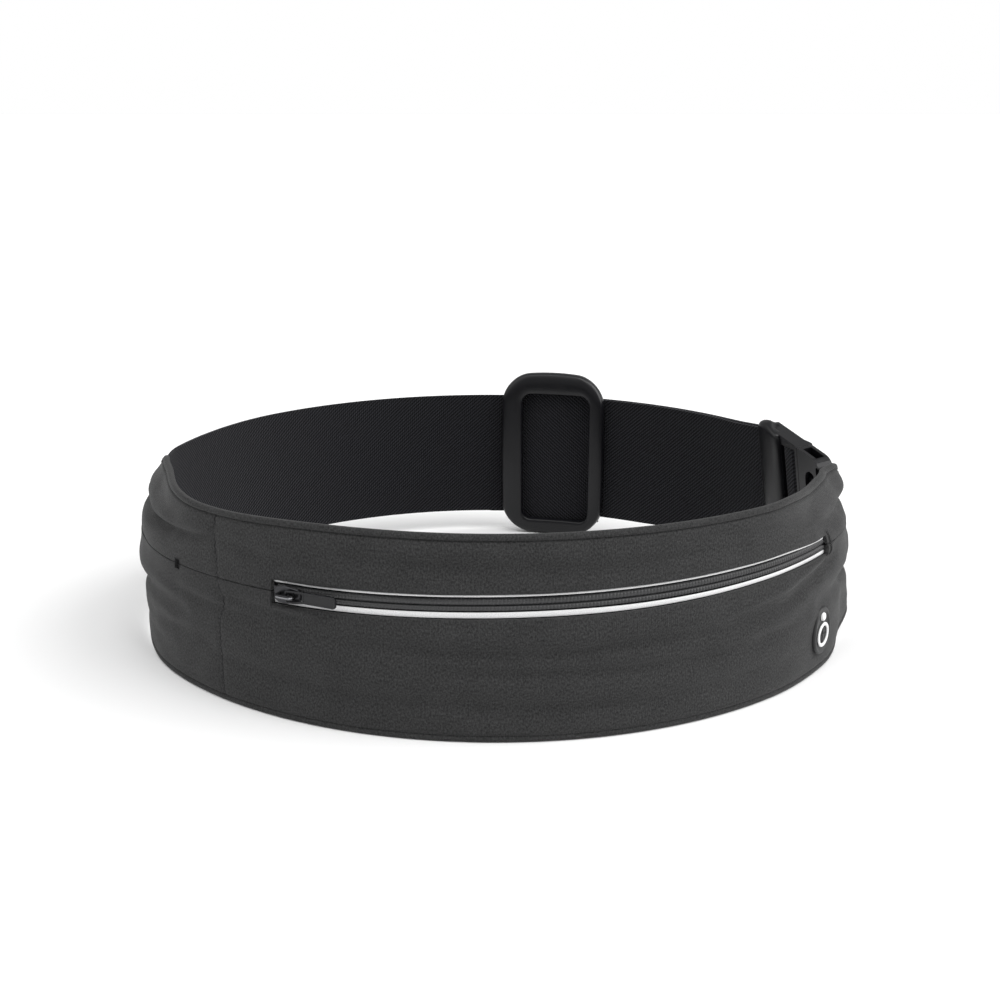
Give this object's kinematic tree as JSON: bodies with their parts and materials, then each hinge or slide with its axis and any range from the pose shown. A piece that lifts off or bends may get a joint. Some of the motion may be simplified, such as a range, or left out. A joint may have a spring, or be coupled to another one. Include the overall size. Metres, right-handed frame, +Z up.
{
  "type": "waist pack",
  "caption": "Slim running belt: a long zipped fabric pouch on a wide elastic strap with a length adjuster and a side-release buckle.",
  "frame": {"origin": "centre of the bounding box at the bottom, under the closed belt standing on its lower edge", "axes": "+Z up along the strap's width, -Y out of the pouch's zipped front, +X towards the earphone port and the buckle"},
  "size_m": [0.2976, 0.251, 0.0825],
  "materials": {
    "knit_fabric": "grey knitted stretch fabric, matt",
    "lining_fabric": "grey knitted lining, matt",
    "zip_tape": "dark woven tape",
    "zip_coil": "dark nylon coil",
    "reflective_print": "silver-white retroreflective film",
    "slider_metal": "dark lacquered zinc",
    "thread": "dark bonded thread",
    "port_rubber": "dark grey silicone rubber",
    "elastic_webbing": "black ribbed elastic webbing",
    "moulded_plastic": "black acetal, semi-matt"
  },
  "bodies": {
    "belt": {"front_panel_upper": "knit_fabric", "front_panel_lower": "knit_fabric", "side_panel_upper": "knit_fabric", "side_panel_lower": "knit_fabric", "back_panel": "lining_fabric", "top_hem": "knit_fabric", "bottom_hem": "knit_fabric", "zip_tape_upper": "zip_tape", "zip_coil_upper": "zip_coil", "zip_tape_lower": "zip_tape", "zip_coil_lower": "zip_coil", "reflective_strip_upper": "reflective_print", "reflective_strip_lower": "reflective_print", "zip_end_stop": "slider_metal", "side_pocket_bartack": "thread", "zip_end_bartack": "thread", "earphone_port_patch": "port_rubber", "earphone_port_rim": "reflective_print", "elastic_strap": "elastic_webbing", "elastic_strap_return": "elastic_webbing", "buckle_webbing_tab": "elastic_webbing", "buckle_socket": "moulded_plastic"},
    "zip_slider": {"zip_slider_body": "slider_metal"},
    "pull_tab": {"zip_pull": "moulded_plastic"},
    "adjuster": {"adjuster_frame": "moulded_plastic", "elastic_strap_tail": "elastic_webbing"},
    "plug": {"buckle_plug": "moulded_plastic", "elastic_strap_buckle_end": "elastic_webbing"},
    "arm_upper": {"release_arm_upper": "moulded_plastic"},
    "arm_lower": {"release_arm_lower": "moulded_plastic"}
  },
  "joints": [
    {"name": "zip_travel", "type": "hinge", "parent": "belt", "child": "zip_slider", "pos_m": [-0.00241, 0.03456, 0.0508], "axis": [-0.017, 0, 0.9999], "range_deg": [0, 76]},
    {"name": "pull_flip", "type": "hinge", "parent": "zip_slider", "child": "pull_tab", "pos_m": [-0.07615, -0.11103, 0.04957], "axis": [0.0135, -0.0069, -0.9999], "range_deg": [0, 165]},
    {"name": "adjuster_travel", "type": "hinge", "parent": "belt", "child": "adjuster", "pos_m": [-0.00637, -0.02146, 0.04], "axis": [0, 0, 1], "range_deg": [-14, 52], "deforming": ["elastic_strap_return"]},
    {"name": "buckle_release", "type": "slide", "parent": "belt", "child": "plug", "axis": [-0.3554, 0.9347, 0], "range_m": [0, 0.03], "deforming": ["elastic_strap_buckle_end"]},
    {"name": "arm_upper_squeeze", "type": "hinge", "parent": "plug", "child": "arm_upper", "pos_m": [0.13069, 0.01472, 0.06423], "axis": [0.9244, 0.3515, 0.1483], "range_deg": [0, 6], "stiffness_Nm_per_rad": 0.05},
    {"name": "arm_lower_squeeze", "type": "hinge", "parent": "plug", "child": "arm_lower", "pos_m": [0.13749, 0.0173, 0.01577], "axis": [-0.9244, -0.3515, -0.1483], "range_deg": [0, 6], "stiffness_Nm_per_rad": 0.05}
  ]
}
